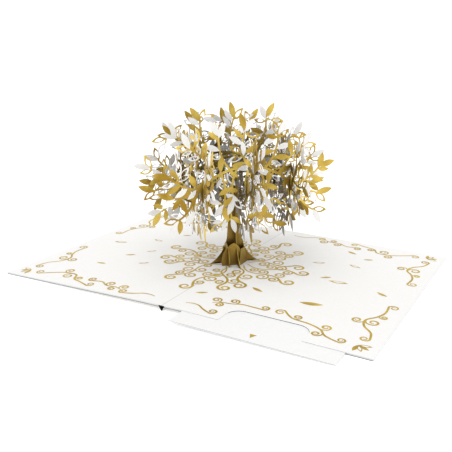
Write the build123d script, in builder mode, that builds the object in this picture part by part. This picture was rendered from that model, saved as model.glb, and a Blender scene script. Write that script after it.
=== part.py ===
from build123d import *
from math import cos, pi, radians, sin, sqrt, tan, atan2
import os

# A pop-up card lying open: the spine runs along Y, the table is Z = 0, and sizes are in millimetres.

# Card
half_width = 127.0
depth = 177.8
cover_t = 0.4
liner_t = 0.3
hem_t = 0.45
land = 14.0
rise = 2.2
fold_half = 1.7
ridge_half = 0.4

# Note slip, its pocket under the right page and the thumb notch
note_t = 0.35
note_play = 0.5
note_out = 14.5
note_length = 165.0
notch_width = 50.7
notch_depth = 17.7
notch_r = 9.0

# Paper of the tree, and the slots where its slices lock into one another
sheet_t = 0.35
slot_play = 0.05
pitch = 29.0
lock_z = 62.0
post_width = 3.0
post_half = 9.0

# Crown: limbs, sprigs and leaves
crown_reach = 65.0
limb_half = 44.0
limb_rise = 16.0
limb_width = 1.6
limb_sweep = 58.0
stem_width = 1.1
leaf_length = 11.5
leaf_width = 4.2
loop_share = 0.6

# Trunk and roots
neck_half = 5.0
neck_z = 25.0
root_height = 16.0
root_pitch = 6.4
root_reach = 10.4
root_lock = 5.0
web_x = 7.0
web_half = 6.0
web_height = 11.5
tab_width = 4.0

# Values that follow from those above
floor_z = rise + cover_t + hem_t + liner_t
tab_depth = hem_t + liner_t
note_mid = half_width / 2
note_width = half_width - 2 * (land + note_play)
flare_half = (land - 1.6) * sqrt(2)
slot_width = sheet_t + slot_play
limb_r = (limb_half**2 + 4 * limb_rise**2) / (4 * limb_rise)
side_scale = sqrt(crown_reach**2 - pitch**2) / crown_reach
dome_end = (web_x - sheet_t / 2 - slot_play) * sqrt(2) - root_pitch - sheet_t / 2
tree_top = lock_z + crown_reach

# Sprigs of one half of a crown: degrees round the limb from its middle, heading in degrees, length on
# a leading slice and on a crossing one, leaves on a trunk slice and on an outer one
centre_sprig = (0, 90, 36, 24, 3, 3)
half_sprigs = [
    (16, 70, 38, 26, 3, 3),
    (32, 50, 39, 27, 3, 3),
    (47, 28, 34, 27, 3, 3),
    (58, 2, 26, 26, 3, 2),
    (58, -48, 28, 33, 3, 2),
    (48, -74, 26, 38, 3, 2),
    (25, -96, 36, 52, 3, 3),
    (9, -80, 32, 54, 2, 3),
]


def page_z(x):
    """Height of the cover's upper face at a distance x from the spine."""
    slope = rise / (half_width - land)
    return cover_t + rise - slope * max(abs(x) - land, 0)


def lead_plane(offset):
    """Upright plane of a slice that runs from front left to rear right."""
    side = offset / sqrt(2)
    return Plane(origin=(side, -side, 0), x_dir=(1, 1, 0), z_dir=(1, -1, 0))


def cross_plane(offset):
    """Upright plane of a slice that runs from rear left to front right."""
    side = offset / sqrt(2)
    return Plane(origin=(side, side, 0), x_dir=(1, -1, 0), z_dir=(-1, -1, 0))


def step(start, heading, distance):
    turn = radians(heading)
    return (start[0] + distance * cos(turn), start[1] + distance * sin(turn))


def leaf_points(base, heading, length, width, stations=(0.28, 0.72)):
    """A pointed leaf: its half width swells and falls from base to tip."""
    sides = [(s, width / 2 * sin(pi * s) ** 0.5) for s in stations]
    outline = [(0, 0)] + sides + [(1, 0)] + [(s, -w) for s, w in reversed(sides)]
    return [step(step(base, heading, s * length), heading + 90, w) for s, w in outline]


def strip_points(path, start_width, end_width):
    """A tapering strip along a path."""
    left = []
    right = []
    for i, point in enumerate(path):
        before = path[max(i - 1, 0)]
        after = path[min(i + 1, len(path) - 1)]
        heading = atan2(after[1] - before[1], after[0] - before[0]) * 180 / pi
        half = (start_width + (end_width - start_width) * i / (len(path) - 1)) / 2
        left.append(step(point, heading + 90, half))
        right.append(step(point, heading - 90, half))
    return left + right[::-1]


def limb_point(angle, scale):
    turn = radians(angle)
    centre = limb_rise - limb_r
    return (scale * limb_r * sin(turn), scale * (centre + limb_r * cos(turn)))


def along(path, share):
    """Point at a share of the way along a bent stem of two equal lengths."""
    first, middle, last = path
    start, end, part = (first, middle, 2 * share) if share < 0.5 else (middle, last, 2 * share - 1)
    return tuple(p + part * (q - p) for p, q in zip(start, end))


def sprig(start, heading, length, leaves, lean, open_leaf):
    """Stem with two leaves at its tip, one of them an open loop or not, and more up its sides."""
    stem_length = length - leaf_length * 0.8
    bend = step(step(start, heading, stem_length / 2), heading + 90, lean * stem_length / 9)
    stem = [start, bend, step(start, heading, stem_length)]
    solids = [strip_points(stem, stem_width * 1.4, stem_width)]
    solids.append(leaf_points(along(stem, 0.94), heading + 14 * lean, leaf_length, leaf_width))
    second = (along(stem, 0.9), heading - 42 * lean, leaf_length * 0.9, leaf_width)
    if not open_leaf:
        solids.append(leaf_points(*second))
    for i in range(leaves - 2):
        root = along(stem, 0.58 - 0.3 * i)
        side = lean if i % 2 == 0 else -lean
        solids.append(leaf_points(root, heading + 56 * side, leaf_length * 0.9, leaf_width * 0.9))
    return solids, [second] if open_leaf else []


def crown_shapes(scale, turn, phase):
    """Limb, locking posts and sprigs of one slice, about the locking height."""
    angles = [limb_sweep * i / 4 for i in range(-4, 5)]
    solids = [strip_points([limb_point(a, scale) for a in angles], limb_width, limb_width)]
    loops = []
    for u in crossings:
        top = scale * limb_rise if u == 0 else post_half
        post = ((u, -post_half), 90, top + post_half, post_width)
        solids.append(leaf_points(*post, stations=(0.2, 0.5, 0.8)))
    sprigs = [(*centre_sprig, 1)]
    for side in (1, -1):
        sprigs += [(side * a, 90 + side * (h - 90), *rest, side) for a, h, *rest in half_sprigs]
    for i, (angle, heading, lead, cross, most, fewest, side) in enumerate(sprigs):
        sway = sin(2.4 * i + phase)
        leaves = most if scale == 1 else fewest
        lean = side if i % 2 == 0 else -side
        reach = scale * (lead if turn == 1 else cross) * (1 + 0.05 * sway)
        start = limb_point(angle, scale)
        drawn = sprig(start, heading + 4 * sway, reach, leaves, lean, (i + phase) % 3 == 0)
        solids += drawn[0]
        loops += drawn[1]
    return solids, loops


def draw_crown(scale, turn, phase):
    """Draw a crown upright (turn 1) or upside down (turn -1) about the locking height."""
    solids, loops = crown_shapes(scale, turn, phase)
    holes = []
    for base, heading, length, width in loops:
        inner = step(base, heading, length * (1 - loop_share) / 2)
        size = (length * loop_share, width * loop_share)
        holes.append(leaf_points(inner, heading, *size))
    rings = [leaf_points(*loop) for loop in loops]
    for outlines, mode in ((rings, Mode.ADD), (holes, Mode.SUBTRACT), (solids, Mode.ADD)):
        faces = []
        for points in outlines:
            placed = [(u, lock_z + turn * v) for u, v in points]
            faces.append(Polygon(*placed[::turn], align=None, mode=Mode.PRIVATE))
        add(faces, mode=mode)


def draw_tabs(places):
    for u in places:
        with Locations((u, floor_z - tab_depth / 2)):
            Rectangle(tab_width, tab_depth)


def draw_trunk(top_z, top_half):
    """Trunk with flared foot and two tabs."""
    with BuildLine() as edge:
        flare = TangentArc((neck_half, neck_z), (flare_half, floor_z), tangent=(0, -1))
        Polyline(flare @ 0, (top_half, top_z), (-top_half, top_z), (-neck_half, neck_z))
        mirror(flare, about=Plane.YZ)
        Line((-flare_half, floor_z), (flare_half, floor_z))
    make_face(edge.edges())
    draw_tabs(foot_tabs)


def draw_dome(side):
    """Root slice that rises from the page to the trunk; side turns it end for end."""
    outer = -side * root_reach
    inner = side * dome_end
    crest = floor_z + root_height
    with BuildLine() as edge:
        back = ThreePointArc(
            (outer, floor_z),
            (outer * 0.76, floor_z + root_height * 0.72),
            (outer * 0.2, crest),
        )
        front = TangentArc((inner, floor_z + root_height / 2), back @ 1, tangent=(0, 1))
        Polyline(front @ 0, (inner, floor_z), (outer, floor_z))
    make_face(edge.edges())
    draw_tabs([-side * root_pitch / 2])


def cut_slots(places, low, high):
    for u in places:
        with Locations((u, (low + high) / 2)):
            Rectangle(slot_width, high - low, mode=Mode.SUBTRACT)


def whole(sketch):
    """The one face of a sketch that stays in one piece once its slots are cut."""
    return sketch.sketch.faces().sort_by(SortBy.AREA)[-1]


def cut_slits(plane, places):
    """Slits in the liner for the tabs of one slice."""
    with BuildSketch(plane) as slits:
        for u in places:
            with Locations((u, floor_z - tab_depth / 2)):
                Rectangle(tab_width + slot_play, tab_depth)
    extrude(slits.sketch, amount=slot_width / 2, both=True, mode=Mode.SUBTRACT)


root_z = floor_z + root_lock
foot_tabs = [-flare_half * 0.7, flare_half * 0.7]
crossings = [-pitch, 0, pitch]
root_crossings = [-root_pitch, root_pitch]
web_plane_right = Plane(origin=(web_x, 0, 0), x_dir=(0, 1, 0), z_dir=(1, 0, 0))
web_plane_left = Plane(origin=(-web_x, 0, 0), x_dir=(0, 1, 0), z_dir=(1, 0, 0))

# Cover: one folded sheet whose fold drops to the table as a gutter
with BuildPart() as cover:
    mitre = cover_t * tan(atan2(rise, fold_half - ridge_half) / 2)
    with BuildSketch(Plane.XZ):
        with BuildLine():
            under = Polyline(
                (0, 0),
                (ridge_half, 0),
                (fold_half, rise),
                (land, rise),
                (half_width, 0),
                (half_width, cover_t),
                (land, rise + cover_t),
                (fold_half - mitre, rise + cover_t),
                (ridge_half - mitre, cover_t),
                (0, cover_t),
            )
            mirror(under, about=Plane.YZ)
        make_face()
    extrude(amount=depth / 2, both=True)

# Liner: the printed sheet, doubled on the left page and hemmed round the pocket on the right
with BuildPart() as liner:
    with BuildSketch(Plane.XZ):
        with BuildLine():
            Polyline(
                (-half_width, page_z(half_width)),
                (-land, page_z(land)),
                (land, page_z(land)),
                (half_width, page_z(half_width)),
                (half_width, page_z(half_width) + tab_depth),
                (land, floor_z),
                (-land, floor_z),
                (-half_width, page_z(half_width) + tab_depth),
                close=True,
            )
        make_face()
    extrude(amount=depth / 2, both=True)
    pocket_depth = note_length + note_play
    pocket_end = half_width - land
    with BuildSketch(Plane.XZ.offset(depth / 2)):
        Polygon(
            (land, page_z(land)),
            (pocket_end, page_z(pocket_end)),
            (pocket_end, page_z(pocket_end) + hem_t),
            (land, page_z(land) + hem_t),
            align=None,
        )
    extrude(amount=-pocket_depth, mode=Mode.SUBTRACT)
    with BuildSketch():
        with Locations((note_mid, -depth / 2)):
            notch = Rectangle(notch_width, 2 * notch_depth)
        fillet(notch.vertices().group_by(Axis.Y)[-1], notch_r)
    extrude(amount=floor_z, mode=Mode.SUBTRACT)
    cut_slits(lead_plane(0), foot_tabs)
    cut_slits(cross_plane(0), foot_tabs)
    for offset in root_crossings:
        dome_tab = [-root_pitch / 2 if offset > 0 else root_pitch / 2]
        cut_slits(lead_plane(offset), dome_tab)
        cut_slits(cross_plane(offset), dome_tab)
    cut_slits(web_plane_left, [0])
    cut_slits(web_plane_right, [0])

# Note slip, part way out of its pocket
with BuildPart() as note_slip:
    lift = (hem_t - note_t) / 2
    note_in = land + note_play
    note_end = note_in + note_width
    with BuildSketch(Plane.XZ.offset(depth / 2 + note_out)):
        Polygon(
            (note_in, page_z(note_in) + lift),
            (note_end, page_z(note_end) + lift),
            (note_end, page_z(note_end) + lift + note_t),
            (note_in, page_z(note_in) + lift + note_t),
            align=None,
        )
    extrude(amount=-note_length)

# Leading slices of the tree: slotted from below
with BuildPart() as trunk_slice:
    with BuildSketch(lead_plane(0), mode=Mode.PRIVATE) as outline:
        draw_crown(1, 1, 0)
        draw_trunk(lock_z + limb_rise, post_width / 2)
        cut_slots(crossings, 0, lock_z)
        cut_slots(root_crossings, 0, root_z)
    extrude(whole(outline), amount=sheet_t / 2, both=True)

with BuildPart() as crown_slice_front:
    with BuildSketch(lead_plane(pitch), mode=Mode.PRIVATE) as outline:
        draw_crown(side_scale, 1, 1)
        cut_slots(crossings, 0, lock_z)
    extrude(whole(outline), amount=sheet_t / 2, both=True)

with BuildPart() as crown_slice_rear:
    with BuildSketch(lead_plane(-pitch), mode=Mode.PRIVATE) as outline:
        draw_crown(side_scale, 1, 4)
        cut_slots(crossings, 0, lock_z)
    extrude(whole(outline), amount=sheet_t / 2, both=True)

# Crossing slices of the tree: slotted from above
with BuildPart() as cross_trunk_slice:
    with BuildSketch(cross_plane(0), mode=Mode.PRIVATE) as outline:
        draw_crown(1, -1, 2)
        draw_trunk(lock_z + post_half, post_width / 2)
        cut_slots(crossings, lock_z, tree_top)
        cut_slots(root_crossings, root_z, neck_z)
    extrude(whole(outline), amount=sheet_t / 2, both=True)

with BuildPart() as cross_slice_left:
    with BuildSketch(cross_plane(-pitch), mode=Mode.PRIVATE) as outline:
        draw_crown(side_scale, -1, 3)
        cut_slots(crossings, lock_z, tree_top)
    extrude(whole(outline), amount=sheet_t / 2, both=True)

with BuildPart() as cross_slice_right:
    with BuildSketch(cross_plane(pitch), mode=Mode.PRIVATE) as outline:
        draw_crown(side_scale, -1, 5)
        cut_slots(crossings, lock_z, tree_top)
    extrude(whole(outline), amount=sheet_t / 2, both=True)

# Roots: low slices that cross one another and the trunk, and two webs beside the spine
with BuildPart() as root_front:
    with BuildSketch(lead_plane(root_pitch), mode=Mode.PRIVATE) as outline:
        draw_dome(1)
        cut_slots([0, -root_pitch], 0, root_z)
    extrude(whole(outline), amount=sheet_t / 2, both=True)

with BuildPart() as root_rear:
    with BuildSketch(lead_plane(-root_pitch), mode=Mode.PRIVATE) as outline:
        draw_dome(-1)
        cut_slots([0, root_pitch], 0, root_z)
    extrude(whole(outline), amount=sheet_t / 2, both=True)

with BuildPart() as cross_root_right:
    with BuildSketch(cross_plane(root_pitch), mode=Mode.PRIVATE) as outline:
        draw_dome(1)
        cut_slots([0, -root_pitch], root_z, neck_z)
    extrude(whole(outline), amount=sheet_t / 2, both=True)

with BuildPart() as cross_root_left:
    with BuildSketch(cross_plane(-root_pitch), mode=Mode.PRIVATE) as outline:
        draw_dome(-1)
        cut_slots([0, root_pitch], root_z, neck_z)
    extrude(whole(outline), amount=sheet_t / 2, both=True)


def draw_web():
    with Locations((0, floor_z)):
        Trapezoid(2 * web_half, web_height, 75, align=(Align.CENTER, Align.MIN))
    draw_tabs([0])


with BuildPart() as root_web_left:
    with BuildSketch(web_plane_left):
        draw_web()
    extrude(amount=sheet_t / 2, both=True)

with BuildPart() as root_web_right:
    with BuildSketch(web_plane_right):
        draw_web()
    extrude(amount=sheet_t / 2, both=True)

pieces = {
    "cover": cover,
    "liner": liner,
    "note_slip": note_slip,
    "trunk_slice": trunk_slice,
    "crown_slice_front": crown_slice_front,
    "crown_slice_rear": crown_slice_rear,
    "cross_trunk_slice": cross_trunk_slice,
    "cross_slice_left": cross_slice_left,
    "cross_slice_right": cross_slice_right,
    "root_front": root_front,
    "root_rear": root_rear,
    "cross_root_right": cross_root_right,
    "cross_root_left": cross_root_left,
    "root_web_left": root_web_left,
    "root_web_right": root_web_right,
}
os.makedirs("parts", exist_ok=True)
for name, piece in pieces.items():
    piece.part.label = name
    export_step(piece.part, f"parts/{name}.step")
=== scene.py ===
"""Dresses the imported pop-up card: gold and white paper tree, scroll-printed pages, note slip and studio."""

from math import atan2, cos, degrees, exp, hypot, pi, radians, sin, sqrt

import bpy
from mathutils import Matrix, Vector
from mathutils.geometry import delaunay_2d_cdt


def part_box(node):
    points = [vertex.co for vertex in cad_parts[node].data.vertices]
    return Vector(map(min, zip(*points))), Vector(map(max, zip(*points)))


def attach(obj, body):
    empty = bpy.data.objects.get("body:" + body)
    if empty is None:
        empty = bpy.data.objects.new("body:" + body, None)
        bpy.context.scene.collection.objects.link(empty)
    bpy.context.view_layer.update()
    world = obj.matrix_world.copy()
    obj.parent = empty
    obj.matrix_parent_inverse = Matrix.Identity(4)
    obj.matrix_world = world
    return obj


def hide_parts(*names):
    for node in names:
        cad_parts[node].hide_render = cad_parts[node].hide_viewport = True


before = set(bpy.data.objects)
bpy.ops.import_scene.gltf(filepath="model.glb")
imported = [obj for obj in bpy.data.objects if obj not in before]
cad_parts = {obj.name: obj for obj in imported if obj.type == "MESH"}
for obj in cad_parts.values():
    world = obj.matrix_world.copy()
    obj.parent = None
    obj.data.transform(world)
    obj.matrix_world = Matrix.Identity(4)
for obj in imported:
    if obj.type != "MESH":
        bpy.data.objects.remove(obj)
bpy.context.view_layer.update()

MM = 0.001

# Card, in millimetres as in the solids: half sizes and height of the page, half width of its level
# middle, thicknesses, depth of the tree's tabs, and height of the page at its outer edges
half_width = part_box("liner")[1].x / MM
half_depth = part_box("liner")[1].y / MM
floor_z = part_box("liner")[1].z / MM
land = 14.0
cover_t = 0.4
liner_t = 0.3
hem_t = 0.45
note_t = 0.35
tab_depth = hem_t + liner_t
edge_z = cover_t + tab_depth

# Slices, as in the solids: thickness, slots, spacing, height at which they lock, posts at the slots
sheet_t = 0.35
slot_width = 0.4
pitch = 29.0
lock_z = 62.0
post_width = 3.0
post_half = 9.0
crossings = [-pitch, 0, pitch]

# Crown, as in the solids: its reach, the limb's arc, stems, leaves, and holes of open leaves
crown_reach = 65.0
limb_half = 44.0
limb_rise = 16.0
limb_width = 1.6
limb_sweep = 58.0
stem_width = 1.1
leaf_length = 11.5
leaf_width = 4.2
loop_share = 0.6
tree_top = lock_z + crown_reach
limb_r = (limb_half**2 + 4 * limb_rise**2) / (4 * limb_rise)
side_scale = sqrt(crown_reach**2 - pitch**2) / crown_reach

# Foot, as in the solids: the trunk's neck and flare, where roots lock into it, and its tabs
neck_half = 5.0
neck_z = 25.0
flare_inset = 1.6
flare_half = (land - flare_inset) * sqrt(2)
root_lock = 5.0
root_pitch = 6.4
tab_width = 4.0
tab_place = 0.7

# Leaf outlines: power of the sine they follow, and breadth of an open leaf's hole beside its length
leaf_fullness = 0.9
loop_breadth = 1.06

# Points along a leaf, half a limb, a foot's flare, a sprig's stem and a twig
leaf_steps = 8
limb_steps = 24
flare_steps = 12
stem_steps = 8
twig_steps = 6

# Places of the papers in a slice's list of materials: gold, white, and gold with a lighter painted shade for
# the trunk
GOLD, WHITE, ROOT = 0, 1, 2

# Sprigs of one half of a crown: degrees round the limb from its middle, heading, length on a
# leading slice and on a crossing one, leaves on a trunk slice and on an outer one
centre_sprig = (0, 90, 36, 24, 3, 3)
half_sprigs = [
    (16, 70, 38, 26, 3, 3),
    (32, 50, 39, 27, 3, 3),
    (47, 28, 34, 27, 3, 3),
    (58, 2, 26, 26, 3, 2),
    (58, -48, 28, 33, 3, 2),
    (48, -74, 26, 38, 3, 2),
    (25, -96, 36, 52, 3, 3),
    (9, -80, 32, 54, 2, 3),
]
# How sprigs differ: beat of the sway over their numbers, and its part in length and heading
sprig_beat = 2.4
sway_length = 0.05
sway_turn = 4
# Colours of a sprig's tip leaf, its other leaves and its open leaf
sprig_colours = [(GOLD, GOLD, GOLD), (GOLD, WHITE, GOLD), (WHITE, WHITE, GOLD), (WHITE, GOLD, GOLD)]
hanging_colours = [(WHITE, GOLD, WHITE), (GOLD, WHITE, WHITE)]
# A sprig hangs where the sine of its heading is below this
hanging_sine = -0.8
# Leaves of a sprig: share along its stem, turn off its heading, length and width beside a full leaf, curl
second_leaf = (0.9, -42, 0.9, 1, -8)
side_leaf = (0.58, 56, 0.9, 0.9, 10)
tip_leaf = (0.94, 14, 1, 1, 8)
# A sprig's stem: leaf lengths it falls short of the sprig, width of its foot beside its tip's, and
# its length over its bow
stem_short = 0.8
stem_foot = 1.4
stem_bow = 9

# Twigs between the sprigs: places tried, room that each needs, its least and most length
twig_tries = 420
twig_room = 5.6
twig_least = 3
twig_most = 26
# Spread of the tries: half its width, its foot and head on leading and on crossing slices, and the turn
# from try to try and from slice to slice
spread_half = 58
lead_spread = (-34, 47)
cross_spread = (-40, 40)
golden_angle = 137.5
phase_turn = 50
# A twig's stem: leaf lengths it falls short of the twig, shortest stem, the twig's length over the bow,
# and width of its tip beside its foot's
twig_short = 0.5
twig_stub = 0.8
twig_bow = 6
twig_taper = 0.8
# A twig's leaf: share along its stem, turn off its heading, size beside a full leaf, curl
twig_leaf = (0.94, -18, 0.9, -20)

# Leaves along the stems: clear space round each, turns tried, turn over curl, mean size, its sway and beat
leaf_gap = 2.7
leaf_turns = (52, -52, 80, -80)
turn_over_curl = 3
small_size = 0.76
small_sway = 0.12
small_beat = 3.3
# A leaf on a twig or along a stem is open where the sine of its number, by this beat, is above a level
open_beat = 7.7
open_sine = -0.15
# Shares of a leaf's length at points that stand for the room it takes
room_shares = (0.4, 0.7, 1)
# What twigs and leaves keep clear of: slots, up to a height over the locking height, and the trunk
slot_clear = 2.2
slot_end = 1
trunk_clear = 8


# Plane geometry


def gap(p, q):
    return hypot(p[0] - q[0], p[1] - q[1])


def bearing(p, q):
    return degrees(atan2(q[1] - p[1], q[0] - p[0]))


def step(start, heading, distance):
    turn = radians(heading)
    return (start[0] + distance * cos(turn), start[1] + distance * sin(turn))


def path_heading(path, i):
    return bearing(path[max(i - 1, 0)], path[min(i + 1, len(path) - 1)])


def along(path, share):
    place = share * (len(path) - 1)
    i = min(int(place), len(path) - 2)
    return tuple(p + (place - i) * (q - p) for p, q in zip(path[i], path[i + 1]))


def bent_path(start, bend, end, steps):
    """Smooth path that leaves start, passes bend half way and arrives at end."""
    pull = [2 * b - (p + q) / 2 for p, b, q in zip(start, bend, end)]
    path = []
    for i in range(steps + 1):
        s = i / steps
        weights = ((1 - s) ** 2, 2 * s * (1 - s), s**2)
        path.append(tuple(sum(w * p[k] for w, p in zip(weights, (start, pull, end))) for k in (0, 1)))
    return path


def strip_points(path, start_width, end_width, swell=0.0):
    """A strip along a path that tapers from end to end and swells in between."""
    left = []
    right = []
    for i, point in enumerate(path):
        heading = path_heading(path, i)
        share = i / (len(path) - 1)
        half = (start_width + (end_width - start_width) * share + swell * sin(pi * share)) / 2
        left.append(step(point, heading + 90, half))
        right.append(step(point, heading - 90, half))
    return left + right[::-1]


def leaf_points(base, heading, length, width, curl=0.0):
    """A pointed leaf whose half width follows a sine and whose midrib bends by curl degrees."""
    left = []
    right = []
    point = base
    for i in range(leaf_steps + 1):
        s = i / leaf_steps
        now = heading + curl * (s - 0.5)
        half = width / 2 * sin(pi * s) ** leaf_fullness
        left.append(step(point, now + 90, half))
        right.append(step(point, now - 90, half))
        point = step(point, now, length / leaf_steps)
    return left + right[-2:0:-1]


def rectangle(u, low, high, width):
    return [(u - width / 2, low), (u + width / 2, low), (u + width / 2, high), (u - width / 2, high)]


def is_left_turning(outline):
    return sum(p[0] * q[1] - q[0] * p[1] for p, q in zip(outline, outline[1:] + outline[:1])) > 0


# Flat shapes: each is (kind, points, colour), and its kind is solid, ring or hole

# Settings of the union: triangles inside the outlines, and distance in millimetres at which points merge
INSIDE = 1
merge_distance = 1e-5


def leaf_shapes(base, heading, length, width, colour, opened, curl=0.0):
    """A whole leaf, or an open one: a ring with a leaf-shaped hole."""
    outline = leaf_points(base, heading, length, width, curl)
    if not opened:
        return [("solid", outline, colour)]
    inner = step(base, heading, length * (1 - loop_share) / 2)
    hole = leaf_points(inner, heading, length * loop_share, width * loop_share * loop_breadth, curl)
    return [("ring", outline, colour), ("hole", hole, colour)]


def joined_triangles(shapes, cuts):
    """One flat sheet cut from overlapping shapes: points, triangles and a colour for each."""
    points = []
    faces = []
    kinds = []
    for kind, outline, colour in shapes + [("cut", cut, GOLD) for cut in cuts]:
        faces.append(list(range(len(points), len(points) + len(outline))))
        turned = outline if is_left_turning(outline) else outline[::-1]
        # The union fills an outline from its first edge, which is kept off the tips that leaves share
        first = len(turned) // 4
        points += [Vector(p) for p in turned[first:] + turned[:first]]
        kinds.append((kind, colour))
    verts, _, tris, _, _, sources = delaunay_2d_cdt(points, [], faces, INSIDE, merge_distance)
    kept = []
    for tri, source in zip(tris, sources):
        found = [kinds[i] for i in sorted(source)]
        names = [kind for kind, _ in found]
        solid = "solid" in names
        ring = "ring" in names and "hole" not in names
        if "cut" in names or not (solid or ring):
            continue
        colour = [c for kind, c in found if kind == ("solid" if solid else "ring")][-1]
        kept.append((tuple(tri), colour))
    return verts, kept


def largest_piece(tris):
    """The biggest group of triangles that hang together by their edges."""
    by_edge = {}
    for n, (tri, _) in enumerate(tris):
        for i in range(3):
            by_edge.setdefault(frozenset((tri[i], tri[i - 1])), []).append(n)
    group = [-1] * len(tris)
    sizes = []
    for first in range(len(tris)):
        if group[first] >= 0:
            continue
        group[first] = len(sizes)
        stack = [first]
        size = 0
        while stack:
            n = stack.pop()
            size += 1
            tri = tris[n][0]
            for i in range(3):
                for m in by_edge[frozenset((tri[i], tri[i - 1]))]:
                    if group[m] < 0:
                        group[m] = group[first]
                        stack.append(m)
        sizes.append(size)
    best = sizes.index(max(sizes))
    return [t for t, g in zip(tris, group) if g == best]


# Crown of one slice, about the locking height


class Crown:
    """Shapes of one slice, its stems, and the points its leaves take up."""

    def __init__(self):
        self.back = []
        self.front = []
        self.stems = []
        self.taken = []

    def leaf(self, base, heading, length, width, colour, opened, curl):
        self.taken += [(spot, colour) for spot in leaf_spots(base, heading, length)]
        self.front += leaf_shapes(base, heading, length, width, colour, opened, curl)

    def stem(self, path, start_width, end_width):
        self.stems.append(path)
        self.back.append(("solid", strip_points(path, start_width, end_width), GOLD))

    def room(self, spot):
        return min(gap(spot, q) for q, _ in self.taken)

    def sprig(self, start, heading, length, leaves, lean, colours, opened):
        """Stem with two leaves at its tip, the second one open or whole, and a third up its side."""
        tip_colour, side_colour, open_colour = colours
        stem_length = length - leaf_length * stem_short
        bend = step(step(start, heading, stem_length / 2), heading + 90, lean * stem_length / stem_bow)
        stem = bent_path(start, bend, step(start, heading, stem_length), stem_steps)
        self.stem(stem, stem_width * stem_foot, stem_width)
        second_colour = open_colour if opened else side_colour
        self.sprig_leaf(stem, heading, lean, second_leaf, second_colour, opened)
        if leaves > 2:
            self.sprig_leaf(stem, heading, lean, side_leaf, side_colour, False)
        self.sprig_leaf(stem, heading, lean, tip_leaf, tip_colour, False)

    def sprig_leaf(self, stem, heading, lean, form, colour, opened):
        share, turn, length, width, curl = form
        size = (leaf_length * length, leaf_width * width)
        self.leaf(along(stem, share), heading + turn * lean, *size, colour, opened, curl * lean)

    def grow_twigs(self, scale, phase, low, high):
        """Curved twigs, each with a leaf at its tip, to wherever the crown still has room."""
        middle = scale * (high + low) / 2
        rise = scale * (high - low) / 2
        for i in range(twig_tries):
            reach = sqrt((i + 0.5) / twig_tries)
            turn = radians(golden_angle * i + phase_turn * phase)
            spot = (scale * spread_half * reach * cos(turn), middle + rise * reach * sin(turn))
            in_trunk = scale == 1 and abs(spot[0]) < trunk_clear and spot[1] < 0
            if in_trunk or near_slot(spot) or self.room(spot) < twig_room:
                continue
            points = [p for path in self.stems for p in path if same_strip(p, spot)]
            root = min(points, key=lambda p: gap(p, spot), default=None)
            if root and twig_least < gap(root, spot) < twig_most:
                self.twig(root, spot, i + phase)

    def twig(self, root, spot, number):
        lean = 1 if number % 2 else -1
        away = gap(root, spot)
        heading = bearing(root, spot)
        end = step(root, heading, max(away - leaf_length * twig_short, twig_stub))
        bend = step(step(root, heading, gap(root, end) / 2), heading + 90, lean * away / twig_bow)
        path = bent_path(root, bend, end, twig_steps)
        self.stem(path, stem_width, stem_width * twig_taper)
        share, turn, size, curl = twig_leaf
        self.dressed_leaf(along(path, share), heading + turn * lean, size, number, curl * lean)

    def dressed_leaf(self, base, heading, size, number, curl):
        """Leaf of the other colour than its nearest neighbour, whole or open by its number."""
        middle = step(base, heading, leaf_length * size / 2)
        _, beside = min(self.taken, key=lambda item: gap(item[0], middle))
        colour = GOLD if beside == WHITE else WHITE
        opened = sin(open_beat * number) > open_sine
        self.leaf(base, heading, leaf_length * size, leaf_width * size, colour, opened, curl)

    def leaf_out(self, phase):
        """Leaves on both sides of every stem wherever they find room."""
        number = phase
        for path in self.stems:
            for i in range(1, len(path)):
                for turn in leaf_turns:
                    number += 1
                    heading = path_heading(path, i) + turn
                    size = small_size + small_sway * sin(small_beat * number)
                    spots = leaf_spots(path[i], heading, leaf_length * size)
                    clear = all(self.room(q) > leaf_gap and same_strip(path[i], q) for q in spots)
                    if clear and not near_slot(spots[1]):
                        self.dressed_leaf(path[i], heading, size, number, -turn / turn_over_curl)


def leaf_spots(base, heading, length):
    """Points down a leaf that stand for the room it takes."""
    return [step(base, heading, length * share) for share in room_shares]


def near_slot(spot):
    return spot[1] < slot_end and min(abs(spot[0] - u) for u in crossings) < slot_clear


def same_strip(p, q):
    """Whether a twig between two points keeps clear of the slots in a slice's cut half."""
    if p[1] > slot_end and q[1] > slot_end:
        return True
    return not any((p[0] - u) * (q[0] - u) <= 0 for u in crossings)


def limb_point(angle, scale):
    turn = radians(angle)
    return (scale * limb_r * sin(turn), scale * (limb_rise - limb_r + limb_r * cos(turn)))


def crown_shapes(scale, turn, phase):
    """Limb, locking posts and leaves of a slice; turn is 1 on a leading slice, -1 on a crossing one."""
    crown = Crown()
    sprigs = [(*centre_sprig, 1)]
    for side in (1, -1):
        sprigs += [(side * a, 90 + side * (h - 90), *rest, side) for a, h, *rest in half_sprigs]
    for i, (angle, heading, lead, cross, on_trunk, on_outer, side) in enumerate(sprigs):
        sway = sin(sprig_beat * i + phase)
        leaves = on_trunk if scale == 1 else on_outer
        lean = side if i % 2 == 0 else -side
        reach = scale * (lead if turn == 1 else cross) * (1 + sway_length * sway)
        start = limb_point(angle, scale)
        hangs = turn == 1 and sin(radians(heading)) < hanging_sine
        if hangs:
            colours = hanging_colours[i % len(hanging_colours)]
        else:
            colours = sprig_colours[(i + phase) % len(sprig_colours)]
        opened = (i + phase) % 3 != 1
        crown.sprig(start, heading + sway_turn * sway, reach, leaves, lean, colours, opened)
    limb = [limb_point(limb_sweep * i / limb_steps, scale) for i in range(-limb_steps, limb_steps + 1)]
    crown.stem(limb, limb_width, limb_width)
    for u in crossings:
        top = scale * limb_rise if u == 0 else post_half
        post = leaf_points((u, -post_half), 90, top + post_half, post_width)
        crown.back.append(("solid", post, GOLD))
    low, high = lead_spread if turn == 1 else cross_spread
    crown.grow_twigs(scale, phase, low, high)
    crown.leaf_out(phase)
    return crown.back + crown.front


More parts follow.
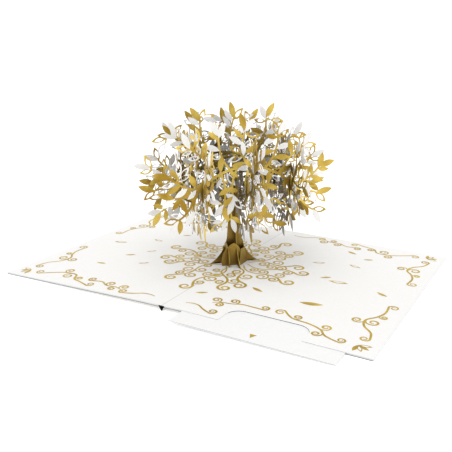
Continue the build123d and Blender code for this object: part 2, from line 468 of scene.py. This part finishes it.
def raised(shapes, turn):
    """Shapes about the locking height, upright or upside down, at their real height."""
    return [
        (kind, [(u, lock_z + turn * v) for u, v in points][::turn], colour)
        for kind, points, colour in shapes
    ]


def trunk_points(top_z):
    """Trunk with a foot that flares on a round arc."""
    drop = neck_z - floor_z
    spread = flare_half - neck_half
    radius = (drop**2 + spread**2) / (2 * spread)
    sweep = atan2(drop, radius - spread)
    right = []
    for i in range(flare_steps + 1):
        turn = sweep * (1 - i / flare_steps)
        right.append((neck_half + radius * (1 - cos(turn)), neck_z - radius * sin(turn)))
    right.append((post_width / 2, top_z))
    return right + [(-u, z) for u, z in right[::-1]]


# Pieces


def new_piece(name, coords, faces, materials):
    mesh = bpy.data.meshes.new(name)
    mesh.from_pydata(coords, [], faces)
    for material in materials:
        mesh.materials.append(material)
    piece = bpy.data.objects.new(name, mesh)
    bpy.context.collection.objects.link(piece)
    return piece


def lead_place(offset):
    """Upright plane from front left to rear right."""
    half = sqrt(0.5)

    def place(u, z, out):
        reach = offset + out
        return (MM * half * (u + reach), MM * half * (u - reach), MM * z)

    return place


def cross_place(offset):
    """Upright plane from rear left to front right."""
    half = sqrt(0.5)

    def place(u, z, out):
        reach = offset - out
        return (MM * half * (u + reach), MM * half * (reach - u), MM * z)

    return place


def sheet_piece(name, shapes, cuts, place, materials):
    """Closed sheet of paper from flat shapes; place maps (u, z, out of plane) to metres."""
    verts, tris = joined_triangles(shapes, cuts)
    tris = largest_piece(tris)
    used = sorted({v for tri, _ in tris for v in tri})
    index = {v: i for i, v in enumerate(used)}
    count = len(used)
    coords = [place(verts[v][0], verts[v][1], sheet_t / 2) for v in used]
    coords += [place(verts[v][0], verts[v][1], -sheet_t / 2) for v in used]
    faces = []
    colours = []
    rims = {}
    for tri, colour in tris:
        a, b, c = (index[v] for v in tri)
        faces.append((a, b, c))
        faces.append((c + count, b + count, a + count))
        colours += [colour, colour]
        for p, q in ((a, b), (b, c), (c, a)):
            if (q, p) in rims:
                del rims[(q, p)]
            else:
                rims[(p, q)] = colour
    for (p, q), colour in rims.items():
        faces.append((q, p, p + count, q + count))
        colours.append(colour)
    piece = new_piece(name, coords, faces, materials)
    piece.data.polygons.foreach_set("material_index", colours)
    piece.data.validate()
    return piece


def print_piece(name, shapes, height, body):
    """Ink on a face whose height in millimetres is a function of x."""
    verts, tris = joined_triangles(shapes, [])
    coords = [(MM * x, MM * y, MM * height(x)) for x, y in verts]
    piece = new_piece(name, coords, [tri for tri, _ in tris], [ink])
    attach(piece, body)


# Materials

# Painted shade for the cut edges, the crease line and the gutter
shadow_grey = (0.04, 0.045, 0.05)
pale_shade = (0.6, 0.61, 0.62)
side_edge_shade = (0.72, 0.72, 0.72)
fold_shade = (0.004, 0.004, 0.005)
# Half widths of the gutter and of a crease, and depth of the band at the front and rear, in millimetres
fold_half = 2.0
crease_line = 0.3
front_band = 0.1
# How far a face's normal leans sideways, or to the front or rear, where the face is a cut edge that takes
# painted shade
side_lean = 0.7
front_lean = 0.3
# Height of paper fibres, and distance within which shade is painted where leaves crowd one another, in
# metres, with its samples
fibre_height = 0.0002
shade_reach = 0.05
shade_samples = 12


def new_material(name):
    material = bpy.data.materials.new(name)
    material.use_nodes = True
    nodes = material.node_tree.nodes
    return material, nodes, material.node_tree.links, nodes["Principled BSDF"]


def noise(nodes, links, scale, detail):
    """Noise over the piece's own space, scale in cycles per metre."""
    place = nodes.new("ShaderNodeTexCoord")
    texture = nodes.new("ShaderNodeTexNoise")
    texture.inputs["Scale"].default_value = scale
    texture.inputs["Detail"].default_value = detail
    links.new(place.outputs["Object"], texture.inputs["Vector"])
    return texture.outputs["Fac"]


def ramp(nodes, links, value, low_at, low, high_at, high):
    """Colour that goes from low to high as a value goes from low_at to high_at."""
    node = nodes.new("ShaderNodeValToRGB")
    stops = ((low_at, low), (high_at, high))
    for element, (position, colour) in zip(node.color_ramp.elements, stops):
        element.position = position
        element.color = (*colour, 1)
    links.new(value, node.inputs["Fac"])
    return node.outputs["Color"]


def fibres(nodes, links, shader, scale, detail, strength):
    """Fine relief on the face of a paper."""
    node = nodes.new("ShaderNodeBump")
    node.inputs["Strength"].default_value = strength
    node.inputs["Distance"].default_value = fibre_height
    links.new(noise(nodes, links, scale, detail), node.inputs["Height"])
    links.new(node.outputs["Normal"], shader.inputs["Normal"])


def mixed(nodes, links, share, low, high):
    """Colour that goes from low to high as share goes from nought to one."""
    node = nodes.new("ShaderNodeMix")
    node.data_type = "RGBA"
    links.new(share, node.inputs["Factor"])
    for name, colour in (("A", low), ("B", high)):
        socket = next(i for i in node.inputs if i.name == name and i.type == "RGBA")
        if isinstance(colour, tuple):
            socket.default_value = (*colour, 1)
        else:
            links.new(colour, socket)
    return next(o for o in node.outputs if o.type == "RGBA")


def openness(nodes, links, low, high):
    """One where a face lies open, nought where others crowd it: the mask for painted shade."""
    node = nodes.new("ShaderNodeAmbientOcclusion")
    node.samples = shade_samples
    node.inputs["Distance"].default_value = shade_reach
    spread = nodes.new("ShaderNodeMapRange")
    spread.inputs["From Min"].default_value = low
    spread.inputs["From Max"].default_value = high
    links.new(node.outputs["AO"], spread.inputs["Value"])
    return spread.outputs["Result"]


def beyond(nodes, links, vector, axis, limit, both_ways=True):
    """One where a vector reaches past a limit along an axis, nought elsewhere."""
    split = nodes.new("ShaderNodeSeparateXYZ")
    links.new(vector, split.inputs["Vector"])
    reach = split.outputs[axis]
    if both_ways:
        size = nodes.new("ShaderNodeMath")
        size.operation = "ABSOLUTE"
        links.new(reach, size.inputs[0])
        reach = size.outputs["Value"]
    test = nodes.new("ShaderNodeMath")
    test.operation = "GREATER_THAN"
    links.new(reach, test.inputs[0])
    test.inputs[1].default_value = limit
    return test.outputs["Value"]


def gold_paper(name, shade):
    """Satin gold print on card, with fine grain, slow drifts of tone, and painted shade that turns it brown
    in its depths.
    """
    material, nodes, links, shader = new_material(name)
    tone = noise(nodes, links, scale=45, detail=3)
    colour = ramp(nodes, links, tone, 0.34, (0.33, 0.2, 0.018), 0.66, (0.77, 0.565, 0.12))
    # Painted shade: the colour turns to the shade colour where other leaves crowd the face
    depth = openness(nodes, links, low=0.43, high=0.76)
    links.new(mixed(nodes, links, depth, shade, colour), shader.inputs["Base Color"])
    shader.inputs["Metallic"].default_value = 0.75
    shader.inputs["Roughness"].default_value = 0.4
    fibres(nodes, links, shader, scale=2600, detail=4, strength=0.12)
    return material


def pearl_paper(name, shade):
    """White card with a soft pearl sheen, and painted shade that greys it where leaves crowd together."""
    material, nodes, links, shader = new_material(name)
    tone = noise(nodes, links, scale=60, detail=3)
    colour = ramp(nodes, links, tone, 0.3, (0.77, 0.76, 0.735), 0.7, (0.86, 0.85, 0.83))
    # Painted shade: the colour turns to the shade colour where other leaves crowd the face
    depth = openness(nodes, links, low=0.42, high=0.78)
    links.new(mixed(nodes, links, depth, shade, colour), shader.inputs["Base Color"])
    shader.inputs["Roughness"].default_value = 0.5
    fibres(nodes, links, shader, scale=2600, detail=4, strength=0.12)
    return material


def card_paper(name, low, high, grain, front_edge, inner_edge, crease, crease_half):
    """Uncoated card with faint fibres, painted shade on its cut edges by the way they face, and a painted
    crease line or dark painted gutter down the spine.
    """
    material, nodes, links, shader = new_material(name)
    place = nodes.new("ShaderNodeTexCoord").outputs["Object"]
    normal = nodes.new("ShaderNodeNewGeometry").outputs["Normal"]
    tone = noise(nodes, links, grain, detail=6)
    colour = ramp(nodes, links, tone, 0.3, low, 0.7, high)
    # Painted shade: cut edges that face the sides turn grey
    colour = mixed(nodes, links, beyond(nodes, links, normal, "X", side_lean), colour, side_edge_shade)
    # Painted shade: upward faces within crease_half of the spine take the crease colour, a pale crease line
    # on the pages and a near-black gutter on the cover
    facing_up = beyond(nodes, links, normal, "Z", 0, both_ways=False)
    spine = mixed(nodes, links, facing_up, colour, crease)
    colour = mixed(nodes, links, beyond(nodes, links, place, "X", MM * crease_half), spine, colour)
    # Painted shade on cut edges that face front or rear: front_edge in the bands at the front and rear, near
    # black within fold_half of the spine, inner_edge elsewhere, as round the notch
    at_front = beyond(nodes, links, place, "Y", MM * (half_depth - front_band))
    front = mixed(nodes, links, beyond(nodes, links, place, "X", MM * fold_half), fold_shade, front_edge)
    edge = mixed(nodes, links, at_front, inner_edge, front)
    colour = mixed(nodes, links, beyond(nodes, links, normal, "Y", front_lean), colour, edge)
    links.new(colour, shader.inputs["Base Color"])
    shader.inputs["Roughness"].default_value = 0.75
    fibres(nodes, links, shader, scale=grain * 5, detail=6, strength=0.1)
    return material


def print_gold(name):
    """Gold ink printed on the page."""
    material, nodes, links, shader = new_material(name)
    tone = noise(nodes, links, scale=120, detail=4)
    colour = ramp(nodes, links, tone, 0.3, (0.38, 0.245, 0.01), 0.7, (0.6, 0.415, 0.03))
    links.new(colour, shader.inputs["Base Color"])
    shader.inputs["Metallic"].default_value = 0.2
    shader.inputs["Roughness"].default_value = 0.45
    return material


# Each paper's shade is the colour of its painted shade where leaves crowd it; root_gold is the same gold with
# a lighter painted shade, for the trunk and roots
gold = gold_paper("gold_paper", shade=(0.055, 0.034, 0.006))
root_gold = gold_paper("root_gold", shade=(0.24, 0.15, 0.03))
pearl = pearl_paper("pearl_paper", shade=(0.1, 0.096, 0.09))
# Edge and crease colours below are painted shade on the cut edges, the crease line and the gutter
page_white = card_paper(
    "page_white",
    low=(0.782, 0.777, 0.764),
    high=(0.817, 0.812, 0.8),
    grain=900,
    front_edge=(0.55, 0.56, 0.57),
    inner_edge=shadow_grey,
    crease=pale_shade,
    crease_half=crease_line,
)
note_white = card_paper(
    "note_white",
    low=(0.77, 0.77, 0.765),
    high=(0.81, 0.81, 0.805),
    grain=1100,
    front_edge=(0.5, 0.5, 0.5),
    inner_edge=pale_shade,
    crease=pale_shade,
    crease_half=crease_line,
)
cover_ivory = card_paper(
    "cover_ivory",
    low=(0.8, 0.78, 0.72),
    high=(0.87, 0.85, 0.8),
    grain=700,
    front_edge=(0.16, 0.165, 0.17),
    inner_edge=shadow_grey,
    crease=fold_shade,
    crease_half=fold_half,
)
ink = print_gold("print_gold")

for node, material in (
    ("cover", cover_ivory),
    ("liner", page_white),
    ("note_slip", note_white),
    ("root_front", root_gold),
    ("root_rear", root_gold),
    ("cross_root_left", root_gold),
    ("cross_root_right", root_gold),
    ("root_web_left", root_gold),
    ("root_web_right", root_gold),
):
    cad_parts[node].data.materials.clear()
    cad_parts[node].data.materials.append(material)

# Tree
root_z = floor_z + root_lock
tab_overlap = 1.0
low_cuts = [rectangle(u, 0, lock_z, slot_width) for u in crossings]
high_cuts = [rectangle(u, lock_z, tree_top, slot_width) for u in crossings]
low_root_cuts = [rectangle(u, 0, root_z, slot_width) for u in (-root_pitch, root_pitch)]
high_root_cuts = [rectangle(u, root_z, neck_z, slot_width) for u in (-root_pitch, root_pitch)]
tabs = [
    ("solid", rectangle(u, floor_z - tab_depth, floor_z + tab_overlap, tab_width), GOLD)
    for u in (-flare_half * tab_place, flare_half * tab_place)
]
trunk = ("solid", trunk_points(lock_z + limb_rise), ROOT)
cross_trunk = ("solid", trunk_points(lock_z + post_half), ROOT)

# Each slice's node, plane, scale, way up, number for its variety, shapes besides its crown, and cuts
slices = [
    ("trunk_slice", lead_place(0), 1, 1, 0, [trunk] + tabs, low_cuts + low_root_cuts),
    ("crown_slice_front", lead_place(pitch), side_scale, 1, 1, [], low_cuts),
    ("crown_slice_rear", lead_place(-pitch), side_scale, 1, 4, [], low_cuts),
    ("cross_trunk_slice", cross_place(0), 1, -1, 2, [cross_trunk] + tabs, high_cuts + high_root_cuts),
    ("cross_slice_left", cross_place(-pitch), side_scale, -1, 3, [], high_cuts),
    ("cross_slice_right", cross_place(pitch), side_scale, -1, 5, [], high_cuts),
]
for node, place, scale, turn, phase, more, cuts in slices:
    shapes = more + raised(crown_shapes(scale, turn, phase), turn)
    piece = sheet_piece("paper_" + node, shapes, cuts, place, [gold, pearl, root_gold])
    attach(piece, "card")
    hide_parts(node)

# Print, in plan: thickness of the ink, how far the slip lies below the page, middle of the right page
ink_t = 0.04
note_drop = tab_depth - (hem_t + note_t) / 2
note_x = half_width / 2

# Printed lines: shares of a line's width at its ends and in their round caps, points on a cap
line_share = 0.6
cap_share = 0.36
cap_sides = 10
# Curls: points on a spiral, degrees between them, points in which its radius falls to 1 / e of itself,
# turns off a stem at which a curl sets out and comes round, pull of the curve between, points on a curve
spiral_points = 31
spiral_step = 15
spiral_decay = 26
curl_leave = 30
curl_away = 52
curve_pull = 0.42
curve_steps = 6

# Ring of roots round the foot of the tree: its stems, and the beat and parts of the sway between them
root_count = 15
root_steps = 20
root_start = 11.0
root_length = 38.0
root_width = 1.45
root_swing = 36
root_waves = 0.95
root_beat = 4.7
root_sway_turn = 5
root_sway_length = 6
# The curl at each root's tail, and the side curls tried on every root, in this order: point on the stem,
# side and radius. Two curls keep apart by a share of their radii
tail_lead = 3
tail_radius = 4.8
curl_width = 1.25
curl_lead = 3.4
curl_apart = 0.8
root_curls = [
    (16, -1, 4.2),
    (12, 1, 4.8),
    (18, 1, 3.6),
    (14, 1, 4.0),
    (11, -1, 4.0),
    (8, -1, 4.2),
    (15, -1, 3.2),
    (9, 1, 3.2),
    (5, 1, 3.2),
]

# Corner flourishes, measured out from the middle of the card. Each vine has two ends, as x, y, radius and
# the way it winds, the points between them, and curls as share along, side and radius
vine_width = 1.15
vine_lead = 1.2
edge_arm = [
    ((12, 79, 0, 0), [(16, 78), (21, 78.5), (26.5, 81.5)], (34, 81, 3, -1), []),
    (
        (37, 80, 0, 0),
        [(43, 77.5), (50, 78), (57, 74)],
        (65, 73, 3, -1),
        [(0.1, -1, 3.2), (0.22, 1, 2.8), (0.42, -1, 3.2)],
    ),
    (
        (61, 81, 3, 1),
        [(70, 80.5), (77, 78), (81, 71.5), (90, 71), (98, 75)],
        (107, 77.5, 3.2, -1),
        [(0.3, -1, 2.6), (0.55, 1, 4), (0.66, -1, 3.2)],
    ),
]
notch_arm = [
    ((10.5, 78, 0, 0), [(14.5, 77), (19, 77.8), (23.5, 81)], (30, 81, 3.2, -1), []),
    (
        (24, 70, 0, 0),
        [(28, 67), (34, 66), (40, 63.5), (46, 63.5)],
        (54, 61, 3, -1),
        [(0.1, 1, 2.8), (0.1, -1, 3.2), (0.45, -1, 3.2)],
    ),
    (
        (64, 61.5, 3.5, -1),
        [(73, 65.5), (84, 67.5), (92, 71), (97, 77)],
        (106, 77.5, 3, -1),
        [(0.2, -1, 2.8), (0.7, 1, 3), (0.58, -1, 3.4)],
    ),
]
side_arm = [
    (
        (119, 22, 3.4, 1),
        [(116.5, 31), (114, 39), (109.5, 46), (111, 54), (117, 61)],
        (116, 69, 3, 1),
        [(0.3, -1, 2.4), (0.47, -1, 4.2), (0.55, 1, 3.4)],
    ),
]
# Leaves in a corner: their base, length and width, and the heading of each with whether it is open
corner_base = (115.5, 78.0)
corner_length = 7.5
corner_width = 2.6
corner_leaves = [(-10, True), (25, False), (60, True), (95, False)]

# Loose printed leaves as on the photo's pages: base, heading and length, and whether open
fleck_slimness = 0.31
fleck_curl = 18
fleck_leaves = [
    ((61, 64.3), -24, 8.9, False),
    ((76.7, 52.1), 26, 7.4, False),
    ((47.7, 27.6), 24, 9.3, True),
    ((71.6, 36.8), -15, 9.5, True),
    ((63.2, 2.3), 39, 8.0, False),
    ((69.9, 0.3), 7, 13.1, True),
    ((103, -2.5), -27, 8.7, False),
    ((67.3, -42.3), 14, 14.7, False),
    ((32.9, -36), -21, 9.7, False),
    ((6.6, -61.8), 31, 8.1, False),
    ((-106.8, 1.2), 12, 11.0, True),
    ((-81.7, 19.4), -8, 9.1, True),
    ((-67.9, 38.2), 28, 7.4, False),
    ((-68.7, -9.1), 46, 7.6, True),
    ((-78.3, -22.4), 34, 7.9, False),
    ((-85.9, -44.8), 7, 7.7, False),
    ((-58, -33.7), 42, 7.8, True),
]

# Wreath on the front cover: pairs of leaves on a ring, and points on the ring's line
wreath_pairs = 18
wreath_radius = 27
wreath_lean = 38
wreath_length = 11
wreath_width = 3.6
wreath_line = 0.9
wreath_steps = 72

# Arrow on the slip: its point's distance from the front edge, length and half width
arrow_in = 4.2
arrow_length = 4.4
arrow_half = 2


def page_top(x):
    """Height of the printed page at a distance x from the spine."""
    slope = (floor_z - edge_z) / (half_width - land)
    return floor_z - slope * max(abs(x) - land, 0)


def on_page(x):
    return page_top(x) + ink_t


def on_note(x):
    return page_top(x) - note_drop + ink_t


def under_cover(x):
    return page_top(x) - tab_depth - cover_t - ink_t


def spiral(centre, radius, heading, turn):
    """Path that comes to a volute on a heading and winds in about its centre."""
    first = heading - 90 * turn
    return [
        step(centre, first + spiral_step * turn * i, radius * exp(-i / spiral_decay))
        for i in range(spiral_points)
    ]


def disc(centre, radius):
    return [step(centre, 360 * i / cap_sides, radius) for i in range(cap_sides)]


def stroke(path, width):
    """Printed line, fullest half way, with round ends."""
    thin = width * line_share
    caps = [("solid", disc(path[i], width * cap_share), GOLD) for i in (0, -1)]
    return [("solid", strip_points(path, thin, thin, thin), GOLD)] + caps


def eased(start, start_heading, end, end_heading):
    """Curve that leaves one point on a heading and reaches another on a heading."""
    reach = curve_pull * gap(start, end)
    pulls = (start, step(start, start_heading, reach), step(end, end_heading + 180, reach), end)
    path = []
    for i in range(curve_steps + 1):
        t = i / curve_steps
        shares = ((1 - t) ** 3, 3 * t * (1 - t) ** 2, 3 * t**2 * (1 - t), t**3)
        path.append(tuple(sum(w * p[k] for w, p in zip(shares, pulls)) for k in (0, 1)))
    return path


def smooth(points):
    """Curve that runs through points and rounds each on the way."""
    ends = [points[0], *points, points[-1]]
    path = []
    for near in zip(ends, ends[1:], ends[2:], ends[3:]):
        for i in range(curve_steps):
            t = i / curve_steps
            weights = (-t + 2 * t**2 - t**3, 2 - 5 * t**2 + 3 * t**3, t + 4 * t**2 - 3 * t**3, t**3 - t**2)
            path.append(tuple(sum(w * p[k] for w, p in zip(weights, near)) / 2 for k in (0, 1)))
    return path + [points[-1]]


def volute(end, before):
    """Spiral at the end of a vine that comes from a point, or the bare end where its radius is nought."""
    x, y, radius, turn = end
    if not radius:
        return [(x, y)]
    return spiral((x, y), radius, bearing(before, (x, y)), turn)


def curl_centre(path, i, turn, radius, lead):
    """Heading on which a curl leaves the i-th point of a stem, and the centre it winds about."""
    heading = path_heading(path, i)
    away = heading + curl_away * turn
    return away, step(step(path[i], heading + curl_leave * turn, lead), away + 90 * turn, radius)


def side_curl(path, i, turn, radius, lead, width):
    """Curl that leaves a stem at its i-th point to one side."""
    away, centre = curl_centre(path, i, turn, radius, lead)
    end = spiral(centre, radius, away, turn)
    return stroke(eased(path[i], path_heading(path, i), end[0], away) + end[1:], width)


def vine(first, via, last, curls):
    """Printed vine from one end to the other by way of points, with curls at shares of its length."""
    start = volute(first, via[0])
    end = volute(last, via[-1])
    body = smooth([start[0], *via, end[0]])
    shapes = stroke(start[:0:-1] + body + end[1:], vine_width)
    for share, turn, radius in curls:
        i = int(share * (len(body) - 1))
        shapes += side_curl(body, i, turn, radius, vine_lead * radius, vine_width)
    return shapes


def wander(start, heading, length, swing):
    """Path that sways from side to side about a heading."""
    path = [start]
    for i in range(root_steps):
        now = heading + swing * cos(2 * pi * root_waves * i / root_steps)
        path.append(step(path[-1], now, length / root_steps))
    return path


def root_scrolls():
    """Ring of curling roots round the foot of the tree, with side curls where they find room."""
    shapes = []
    stems = []
    taken = []
    for n in range(root_count):
        sway = sin(root_beat * n)
        turn = 1 if n % 2 else -1
        heading = 360 * n / root_count + root_sway_turn * sway
        start = step((0, 0), heading, root_start)
        stem = wander(start, heading, root_length + root_sway_length * sway, root_swing * turn)
        last = path_heading(stem, len(stem) - 1)
        centre = step(step(stem[-1], last, tail_lead), last - 90 * turn, tail_radius)
        shapes += stroke(stem + spiral(centre, tail_radius, last, -turn), root_width)
        stems.append((stem, turn))
        taken.append((centre, tail_radius))
    for i, side, radius in root_curls:
        for stem, turn in stems:
            _, centre = curl_centre(stem, i, side * turn, radius, curl_lead)
            if all(gap(centre, c) > curl_apart * (radius + r) for c, r in taken):
                taken.append((centre, radius))
                shapes += side_curl(stem, i, side * turn, radius, curl_lead, curl_width)
    return shapes


def corner_scrolls(side_x, side_y):
    """Flourish in one corner of the open card: two arms and a spray of leaves."""
    arm = notch_arm if side_x > 0 and side_y < 0 else edge_arm
    shapes = []
    for ends_and_curls in arm + side_arm:
        shapes += vine(*ends_and_curls)
    for heading, opened in corner_leaves:
        shapes += leaf_shapes(corner_base, heading, corner_length, corner_width, GOLD, opened)
    return [(kind, [(side_x * x, side_y * y) for x, y in points], c) for kind, points, c in shapes]


def flecks():
    """Loose printed leaves, each open or whole."""
    shapes = []
    for base, heading, length, opened in fleck_leaves:
        shapes += leaf_shapes(base, heading, length, length * fleck_slimness, GOLD, opened, fleck_curl)
    return shapes


def cover_wreath():
    """Ring of leaves for the front cover, which lies face down under the left page."""
    centre = (-note_x, 0)
    shapes = []
    for i in range(wreath_pairs):
        turn = 360 * i / wreath_pairs
        spot = step(centre, turn, wreath_radius)
        for side in (1, -1):
            heading = turn + 90 + wreath_lean * side
            shapes += leaf_shapes(spot, heading, wreath_length, wreath_width, GOLD, opened=side < 0)
    ring = [step(centre, 360 * i / wreath_steps, wreath_radius) for i in range(wreath_steps + 1)]
    return shapes + [("solid", strip_points(ring, wreath_line, wreath_line), GOLD)]


def slip_arrow():
    """Small arrow on the slip that points the way it pulls."""
    tip_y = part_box("note_slip")[0].y / MM + arrow_in
    back_y = tip_y + arrow_length
    points = [(note_x - arrow_half, back_y), (note_x, tip_y), (note_x + arrow_half, back_y)]
    return [("solid", points, GOLD)]


corners = []
for side_x in (1, -1):
    for side_y in (1, -1):
        corners += corner_scrolls(side_x, side_y)
print_piece("print_roots", root_scrolls(), on_page, "card")
print_piece("print_corners", corners, on_page, "card")
print_piece("print_flecks", flecks(), on_page, "card")
print_piece("print_cover", cover_wreath(), under_cover, "card")
print_piece("print_arrow", slip_arrow(), on_note, "note")

# Studio: floor in metres and its faint glow, as a light table's, then the sky and one soft sun
floor_reach = 6.0
floor_glow = 0.22
sky_strength = 1.06
sun_towards = (0.1, -0.6, 1.3)
sun_spread = 60
sun_power = 1.42


def studio_floor():
    material, nodes, links, shader = new_material("floor_white")
    tone = noise(nodes, links, scale=4, detail=2)
    colour = ramp(nodes, links, tone, 0.3, (0.93, 0.93, 0.93), 0.7, (0.95, 0.95, 0.95))
    links.new(colour, shader.inputs["Base Color"])
    shader.inputs["Roughness"].default_value = 0.9
    shader.inputs["Emission Color"].default_value = (1, 1, 1, 1)
    shader.inputs["Emission Strength"].default_value = floor_glow
    square = [(x * floor_reach, y * floor_reach, 0) for x, y in ((-1, -1), (1, -1), (1, 1), (-1, 1))]
    floor = new_piece("floor", square, [(0, 1, 2, 3)], [material])


def sky():
    """White at the horizon and grey overhead."""
    world = bpy.data.worlds.new("studio")
    world.use_nodes = True
    nodes = world.node_tree.nodes
    links = world.node_tree.links
    place = nodes.new("ShaderNodeTexCoord")
    split = nodes.new("ShaderNodeSeparateXYZ")
    links.new(place.outputs["Generated"], split.inputs["Vector"])
    colour = ramp(nodes, links, split.outputs["Z"], 0.1, (1, 1, 1), 0.4, (0.78, 0.78, 0.78))
    links.new(colour, nodes["Background"].inputs["Color"])
    nodes["Background"].inputs["Strength"].default_value = sky_strength
    bpy.context.scene.world = world


def sun():
    data = bpy.data.lights.new("key", "SUN")
    data.angle = radians(sun_spread)
    data.energy = sun_power
    light = bpy.data.objects.new("key", data)
    bpy.context.collection.objects.link(light)
    light.rotation_euler = Vector(sun_towards).to_track_quat("Z", "Y").to_euler()


# Camera at the photograph's angle: degrees, millimetres, and the photograph's pixels
camera_az = 29.298
camera_el = 16.103
camera_distance = 545.334
camera_target = (-52.796, 82.584, edge_z)
camera_near = 10
sensor_width = 36
photo_focal = 642.324
photo_width = 452


def camera():
    data = bpy.data.cameras.new("camera")
    data.sensor_width = sensor_width
    data.lens = sensor_width * photo_focal / photo_width
    data.clip_start = MM * camera_near
    eye = bpy.data.objects.new("camera", data)
    bpy.context.collection.objects.link(eye)
    az = radians(camera_az)
    el = radians(camera_el)
    back = Vector((sin(az) * cos(el), -cos(az) * cos(el), sin(el)))
    eye.location = MM * (Vector(camera_target) + camera_distance * back)
    eye.rotation_euler = back.to_track_quat("Z", "Y").to_euler()
    bpy.context.scene.camera = eye


studio_floor()
sky()
sun()
camera()
bpy.context.scene.view_settings.view_transform = "Standard"
